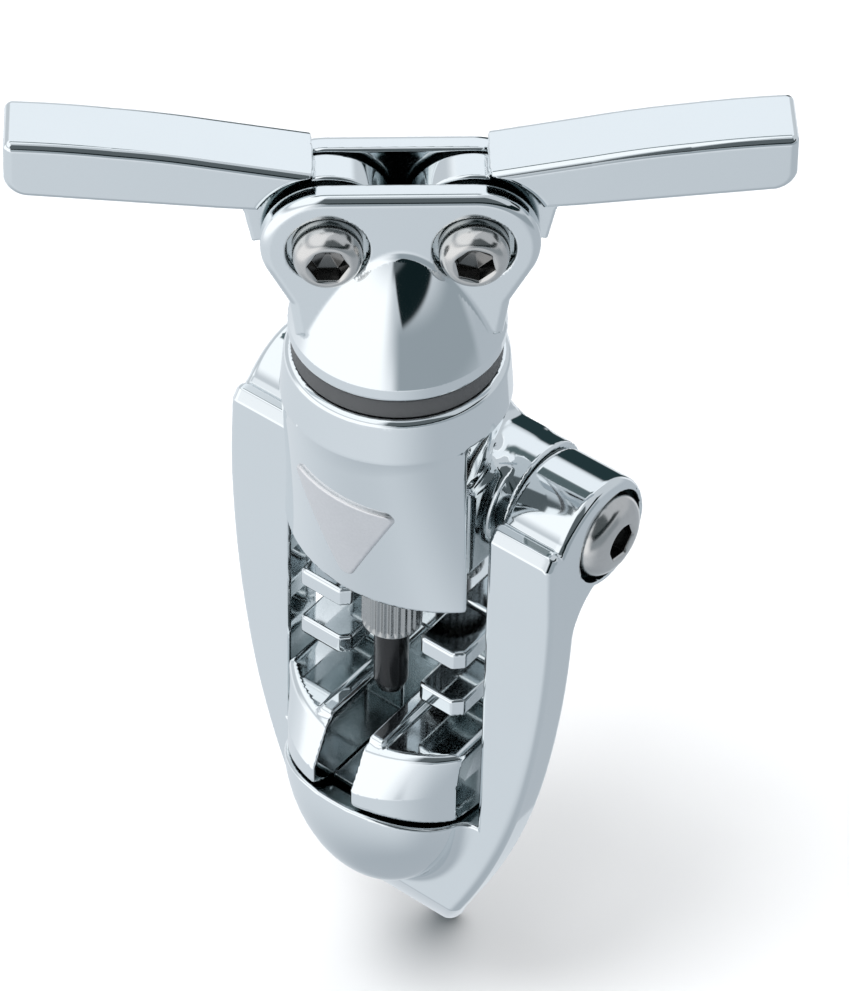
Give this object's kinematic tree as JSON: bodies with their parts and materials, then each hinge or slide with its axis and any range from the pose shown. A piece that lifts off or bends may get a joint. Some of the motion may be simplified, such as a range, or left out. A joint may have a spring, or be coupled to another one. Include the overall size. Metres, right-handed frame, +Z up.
{
  "type": "bicycle chain tool",
  "caption": "Pocket bicycle chain tool: a winged screw head drives a push pin through a chain held on fingers, with a hinged guard bail.",
  "frame": {"origin": "centre of the push pin's tip with the screw fully home, on the screw axis", "axes": "+Z up along the screw axis towards the head, X along the chain, -Y towards the front of the tool"},
  "size_m": [0.0539, 0.046, 0.1072],
  "materials": {
    "chrome_body": "polished bright chrome plate on cast steel",
    "chrome_bail": "polished bright chrome plate on cast steel",
    "chrome_head": "polished bright chrome plate on cast steel",
    "chrome_wings": "polished bright chrome plate on cast steel",
    "bolt_steel": "turned stainless steel",
    "badge_satin": "satin plated plate, plain",
    "pin_black": "black oxide on hardened steel",
    "sleeve_knurl": "knurled, satin nickel",
    "spindle_steel": "oiled machined thread",
    "washer_steel": "spring steel, dull",
    "ring_grey": "dark grey moulded nylon"
  },
  "bodies": {
    "body": {"body_casting": "chrome_body", "badge": "badge_satin", "bail_bolt_left": "bolt_steel", "bail_bolt_right": "bolt_steel", "bail_washer_left": "washer_steel", "bail_washer_right": "washer_steel"},
    "bail": {"bail": "chrome_bail"},
    "feed": {"push_pin": "pin_black", "pin_sleeve": "sleeve_knurl"},
    "head": {"head_casting": "chrome_head", "thrust_ring": "ring_grey", "spindle": "spindle_steel", "spindle_grub_screw": "bolt_steel", "wing_bolt_left": "bolt_steel", "wing_bolt_right": "bolt_steel", "wing_washer_left_front": "washer_steel", "wing_washer_left_rear": "washer_steel", "wing_washer_right_front": "washer_steel", "wing_washer_right_rear": "washer_steel"},
    "left_wing": {"wing_left": "chrome_wings"},
    "right_wing": {"wing_right": "chrome_wings"}
  },
  "joints": [
    {"name": "bail_swing", "type": "hinge", "parent": "body", "child": "bail", "pos_m": [0, 0.0078, 0.0239], "axis": [-1, 0, 0], "range_deg": [0, 80]},
    {"name": "screw_feed", "type": "slide", "parent": "body", "child": "feed", "axis": [0, 0, 1], "range_m": [0, 0.0081]},
    {"name": "head_turn", "type": "hinge", "parent": "feed", "child": "head", "pos_m": [0, 0, 0.05], "axis": [0, 0, 1], "range_deg": [0, 2304]},
    {"name": "left_wing_fold", "type": "hinge", "parent": "head", "child": "left_wing", "pos_m": [-0.00465, -0.00384, 0.0564], "axis": [0.6361, -0.7716, 0], "range_deg": [0, 70]},
    {"name": "right_wing_fold", "type": "hinge", "parent": "head", "child": "right_wing", "pos_m": [0.00465, 0.00384, 0.0564], "axis": [-0.6361, 0.7716, 0], "range_deg": [0, 70]}
  ],
  "couplings": [
    {"joint": "screw_feed", "follows": "head_turn", "m_per_rad": 0.00019894}
  ]
}
